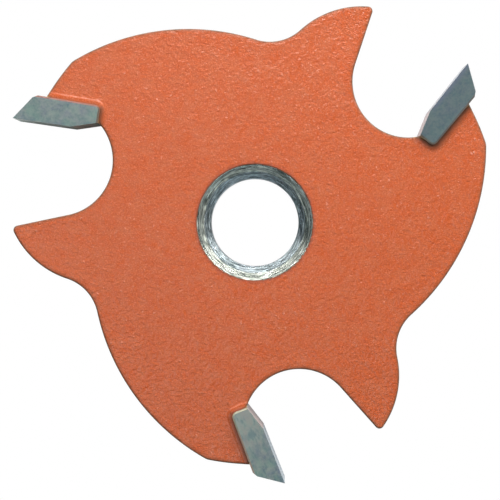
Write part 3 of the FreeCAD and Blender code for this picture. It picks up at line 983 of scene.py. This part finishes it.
def build_coating(material):
    hole = ragged_hole(560, amplitude=0.05, seed=11)
    holes = SEATS + [hole]
    flat, tri = triangulate(RIM, holes, film_points(hole))
    sparse = hex_grid(pitch=2.2, seed=6)
    inner_flat, inner_tri = triangulate(INNER_RIM, holes, sparse[inside(sparse, INNER_RIM)])
    edges, inner_edges = border(tri), border(inner_tri)
    kinds, inner_kinds = edge_kinds(flat, edges), edge_kinds(inner_flat, inner_edges)

    # the two faces
    count, inner_count = len(flat), len(inner_flat)
    to_rim = distance(flat, RIM)
    angles = np.arctan2(flat[:, 1], flat[:, 0])
    to_hole = np.maximum(radii(flat) - hole_radius(hole, angles), 0)
    top, top_pad, top_tip_shadow = film_face(flat, to_rim, to_hole, seed=1)
    bottom, bottom_pad, bottom_tip_shadow = film_face(flat, to_rim, to_hole, seed=41)
    at_seat = {v for edge, kind in zip(edges, kinds) if kind == "seat" for v in edge}
    leaning = lean_to_tips(flat, sorted(at_seat), to_rim)
    film = Shape()
    film.add(np.column_stack((leaning, top)))
    film.add(np.column_stack((leaning, -bottom)))
    film.add_sheet(tri, 0)
    film.add_sheet(tri, count, flip=True)

    # the rim, in columns from the top face to the bottom one
    rim_edges = [edge for edge, kind in zip(edges, kinds) if kind == "rim"]
    side, rim_vertices = rim_side(flat, rim_edges, top, -bottom)
    first = film.add(side)
    columns = {}
    for vertex in rim_vertices:
        columns[vertex] = [vertex, *range(first, first + RIM_LEVELS - 1), vertex + count]
        first += RIM_LEVELS - 1
    for a, b in rim_edges:
        left, right = columns[a], columns[b]
        for i in range(RIM_LEVELS):
            film.faces.append((left[i + 1], right[i + 1], right[i], left[i]))

    # the film's inner side, against the steel
    over = film.add(np.column_stack((inner_flat, np.full(inner_count, Z_STEEL))))
    under = film.add(np.column_stack((inner_flat, np.full(inner_count, -Z_STEEL))))
    film.add_sheet(inner_tri, over, flip=True)
    film.add_sheet(inner_tri, under)
    for (a, b), kind in zip(inner_edges, inner_kinds):
        if kind == "rim":
            film.faces.append((a + over, b + over, b + under, a + under))

    # its edges at the bore and the seats
    find_inner = search_tree(inner_flat)

    def match(vertex):
        _, i, gap = find_inner(flat[vertex])
        return i if gap < 2e-4 else None

    for (a, b), kind in zip(edges, kinds):
        if kind == "rim":
            continue
        ia, ib = match(a), match(b)
        if ia is not None and ib is not None:
            film.faces.append((ia + over, ib + over, b, a))
            film.faces.append((a + count, b + count, ib + under, ia + under))
        elif ib is not None:  # the film's end, from the rim to its inner side
            film.faces.append((*columns[a], b + count, ib + under, ib + over, b))
        elif ia is not None:
            film.faces.append((*columns[b][::-1], a, ia + over, ia + under, a + count))

    # marks for the material: where the film's edges are darker, on the rim, thin, padded, and
    # the painted shadow beside the tips
    def mark(on_top, on_bottom, on_side):
        on_side = np.broadcast_to(on_side, len(side))
        return np.concatenate((on_top, on_bottom, on_side, np.zeros(2 * inner_count)))

    rim_dark = 0.95 * np.exp(-((to_rim / 0.15) ** 2))
    near_edge = np.maximum(rim_dark, 0.9 * np.exp(-((to_hole / 0.09) ** 2)))
    arris = Z_COAT - EDGE_RADIUS
    off_arris = np.maximum(np.minimum(arris - side[:, 2], side[:, 2] + arris), 0)
    by_hole = np.exp(-((to_hole / 0.22) ** 2))
    on_rim = to_rim < 1e-3
    marks = {
        "edge_dark": mark(near_edge, near_edge, np.exp(-((off_arris / 0.22) ** 2))),
        "side": mark(on_rim, on_rim, 1.0),
        "thin": mark(by_hole, by_hole, 0.0),
        "pad": mark(top_pad, bottom_pad, 0.0),
        "tip_shadow": mark(top_tip_shadow, bottom_tip_shadow, 0.0),
    }
    return film.make("orange_film", material, marks)


# ---- the steel plate: hidden blank, turned bore --------------------------------------------
def bore_profile():
    """(radius, z, normal's radius part, normal's z part) down the bore, closely spaced."""
    sink_z = Z_STEEL - BEVEL_DEPTH
    stops = [(BEVEL_RADIUS, Z_STEEL), (SINK_RADIUS, sink_z), (BORE_RADIUS, sink_z - SINK_DEPTH)]
    stops += [(radius, -z) for radius, z in reversed(stops)]
    profile = []
    for (r0, z0), (r1, z1) in zip(stops, stops[1:]):
        length = math.hypot(r1 - r0, z1 - z0)
        steps = max(2, int(length / 0.035))
        for i in range(steps):
            t = i / steps
            place = (r0 + (r1 - r0) * t, z0 + (z1 - z0) * t)
            profile.append((*place, (z1 - z0) / length, -(r1 - r0) / length))
    return profile[1:]


def bore_rows(angles, ring):
    """The bore's rings of vertices from top to bottom, with turning marks."""
    profile = bore_profile()
    rows = []
    travel = 0.0
    last = (BEVEL_RADIUS, Z_STEEL)

    def marks(around, along, seed, octaves):
        points = np.column_stack((ring * around, np.full(len(ring), travel * along)))
        return fractal(points, scale=1.0, seed=seed, octaves=octaves)

    for j, (radius, z, normal_r, normal_z) in enumerate(profile):
        travel += math.hypot(radius - last[0], z - last[1])
        last = (radius, z)
        groove = marks(around=2.2, along=7.5, seed=5, octaves=2)
        broken = marks(around=7.0, along=5.0, seed=15, octaves=2)
        waves = np.sin(angles * 46 + travel * 9)
        chatter = waves * marks(around=2.0, along=1.5, seed=9, octaves=1)
        fade = min(1.0, (j + 1) / 3, (len(profile) - j) / 3)
        height = (0.014 * groove + 0.005 * broken + 0.004 * chatter) * fade
        flat = ring * (radius + normal_r * height)[:, None]
        rows.append(np.column_stack((flat, z + normal_z * height)))
    return rows


def build_steel(material):
    segments = 480
    angles, ring = circle(segments)
    rim = outline(COAT, 0.35)
    pockets = [from_tip(tip_outline(BRAZE_GAP, 0.5), number) for number in TIPS]
    sparse = hex_grid(pitch=2.5, seed=8)
    holes = pockets + [ring * BEVEL_RADIUS]
    flat, tri = triangulate(rim, holes, sparse[inside(sparse, rim)])
    count = len(flat)
    steel = Shape()
    steel.add(np.column_stack((flat, np.full(count, Z_STEEL))))
    steel.add(np.column_stack((flat, np.full(count, -Z_STEEL))))
    steel.add_sheet(tri, 0)
    steel.add_sheet(tri, count, flip=True)
    for a, b in border(tri):
        if math.hypot(*((flat[a] + flat[b]) / 2)) > BORE_LIMIT:
            steel.faces.append((a + count, b + count, b, a))
    # the face's vertex at each segment of the bore
    mouth = {}
    for i in np.nonzero(np.abs(radii(flat) - BEVEL_RADIUS) < 1e-4)[0]:
        angle = math.atan2(flat[i][1], flat[i][0]) % FULL_TURN
        mouth[int(round(angle / FULL_TURN * segments)) % segments] = int(i)
    rows = bore_rows(angles, ring)
    first = steel.add(np.concatenate(rows))
    last = first + (len(rows) - 1) * segments
    for k in range(segments):
        after = (k + 1) % segments
        steel.faces.append((mouth[k], mouth[after], first + after, first + k))
        for row in range(first, last, segments):
            below = row + segments
            steel.faces.append((row + k, row + after, below + after, below + k))
        steel.faces.append((last + k, last + after, mouth[after] + count, mouth[k] + count))
    return steel.make("steel_blank", material)


coat_mat = coating_material()
steel_mat = steel_material()
braze_mat = braze_material()

film = build_coating(coat_mat)
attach(film, "root")
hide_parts("orange_coating")
blank = build_steel(steel_mat)
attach(blank, "root")
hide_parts("steel_plate")


def dress(node, material, bevel_width=0.0):
    """A CAD node keeps its shape: welded, given its material and, if asked, broken edges."""
    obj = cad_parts[node]
    obj.data.materials.clear()
    obj.data.materials.append(material)
    weld = obj.modifiers.new("weld", "WELD")
    weld.merge_threshold = 1e-7
    if bevel_width:
        bevel = obj.modifiers.new("edges", "BEVEL")
        bevel.width = bevel_width * MM
        bevel.segments = 2
        bevel.limit_method = "ANGLE"
        bevel.angle_limit = math.radians(14)
        bevel.use_clamp_overlap = True
        bevel.harden_normals = True


for number in TIPS:
    dress("carbide_tip_%d" % number, carbide_material(number), bevel_width=0.018)
    dress("braze_joint_%d" % number, braze_mat)


# ---- stage ---------------------------------------------------------------------------------
def floor_material():
    mat = Material("pale_floor")
    paper = mat.noise(scale=40.0, detail=2.0, rough=0.5)
    mat.shade(
        Base_Color=(0.90, 0.90, 0.90, 1),
        Roughness=0.9,
        Specular_IOR_Level=0.0,
        Normal=mat.bump(paper, depth=0.05, strength=0.2),
    )
    rays = mat.node("LightPath").outputs
    facing = mat.node("NewGeometry").outputs
    sight = {0: facing["Incoming"], 1: facing["Normal"]}
    slope = mat.node("VectorMath", sight, operation="DOT_PRODUCT").outputs["Value"]
    steep = mat.remap(slope, over=(0.90, 0.97))
    # seen from above it is a bright sheet to the camera; in the tips' upright faces it glows
    # towards +X only, a painted reflection
    place = mat.split(facing["Position"])
    reflected_side = mat.remap(place[0], over=(-13.0 * MM, -3.0 * MM), to=(0.0, 0.75))
    painted_reflection = mat.times(rays["Is Glossy Ray"], reflected_side)
    share = mat.times(steep, mat.math("MAXIMUM", rays["Is Camera Ray"], painted_reflection))
    # far from the disc it is evenly pale, seen at any slope
    squares = mat.math("ADD", mat.times(place[0], place[0]), mat.times(place[1], place[1]))
    away = mat.remap(mat.math("SQRT", squares), over=(40.0 * MM, 130.0 * MM), smooth=True)
    share = mat.math("MAXIMUM", share, mat.times(rays["Is Camera Ray"], away))
    strength = mat.remap(slope, over=(0.90, 0.97), to=(0.88, 1.0))
    glow = mat.node("Emission", {0: (1, 1, 1, 1), 1: strength})
    shaders = {0: share, 1: mat.bsdf.outputs[0], 2: glow.outputs[0]}
    mat.put(mat.node("MixShader", shaders).outputs[0], mat.out.inputs[0])
    return mat.material


def build_floor():
    mesh = bpy.data.meshes.new("floor")
    half, z = 1.2, cad_low.z  # metres
    corners = [(-half, -half, z), (half, -half, z), (half, half, z), (-half, half, z)]
    mesh.from_pydata(corners, [], [(0, 1, 2, 3)])
    mesh.materials.append(floor_material())
    add_object("floor", mesh)


build_floor()


def softbox(name, azimuth, elevation, power, colour, across, away):
    """A round soft light facing the disc's centre, placed by its direction."""
    azimuth, elevation = math.radians(azimuth), math.radians(elevation)
    level = math.cos(elevation)
    direction = (level * math.cos(azimuth), level * math.sin(azimuth), math.sin(elevation))
    spot = Vector(direction) * away * MM
    data = bpy.data.lights.new(name, "AREA")
    data.shape = "DISK"
    data.size = across * MM
    data.energy = power
    data.color = colour
    obj = add_object(name, data)
    obj.location = spot
    obj.rotation_mode = "QUATERNION"
    obj.rotation_quaternion = (-spot).to_track_quat("-Z", "Y")
    obj.visible_camera = False


WARM, COOL = (1.0, 0.985, 0.94), (0.80, 0.96, 1.0)
# Low warm windows from +X round past +Y, and a little cool fill from -Y and above.
# name, azimuth from +X and elevation in degrees, watts, colour, width and distance in mm
SOFTBOXES = (
    ("window_right", 0, 27, 0.065, WARM, 130, 200),
    ("window_near_right", 45, 27, 0.335, WARM, 130, 200),
    ("window_middle", 90, 27, 0.265, WARM, 130, 200),
    ("window_near_left", 135, 27, 0.19, WARM, 130, 200),
    ("window_high", 90, 50, 0.030, WARM, 26, 100),
    ("fill_right", 315, 27, 0.060, COOL, 130, 200),
    ("fill_near", 270, 27, 0.038, COOL, 130, 200),
    ("top_left", 208, 76, 0.20, COOL, 200, 400),
)
for row in SOFTBOXES:
    softbox(*row)


def build_world():
    """A dim room that looks pale where the camera sees past the floor."""
    world = bpy.data.worlds.new("studio")
    bpy.context.scene.world = world
    nodes = Nodes(world)
    seen = nodes.node("LightPath").outputs["Is Camera Ray"]
    strength = nodes.remap(seen, over=(0.0, 1.0), to=(0.04, 0.85))
    background = nodes.node("Background", {0: (0.88, 0.96, 1.0, 1.0), 1: strength})
    nodes.node("OutputWorld", {0: background.outputs[0]})


build_world()

# ---- camera: above the bore, a little aside and tilted, with the view shifted back ---------
CAMERA_X, CAMERA_Y, CAMERA_Z = 2.0, -1.0, 203.175
TILT_X, TILT_Y = -0.054, 0.0335  # radians
SENSOR_WIDTH = 36.0
VIEW_WIDTH = 45.22  # what a shift of one moves the view by
SHIFT_X, SHIFT_Y = -0.00908, -0.05504  # the framing, before place and tilt are made up for
lens = bpy.data.cameras.new("camera")
camera = add_object("camera", lens)
lens.sensor_width = SENSOR_WIDTH
lens.lens = 159.335
zoom = lens.lens / SENSOR_WIDTH
lens.shift_x = SHIFT_X - CAMERA_X / VIEW_WIDTH + zoom * math.tan(TILT_Y)
lens.shift_y = SHIFT_Y - CAMERA_Y / VIEW_WIDTH - zoom * math.tan(TILT_X)
lens.clip_start = 0.001
lens.clip_end = 10.0
camera.location = (CAMERA_X * MM, CAMERA_Y * MM, CAMERA_Z * MM)
camera.rotation_euler = (TILT_X, TILT_Y, 0.0)
scene = bpy.context.scene
scene.camera = camera
scene.view_settings.view_transform = "Standard"
scene.view_settings.look = "None"
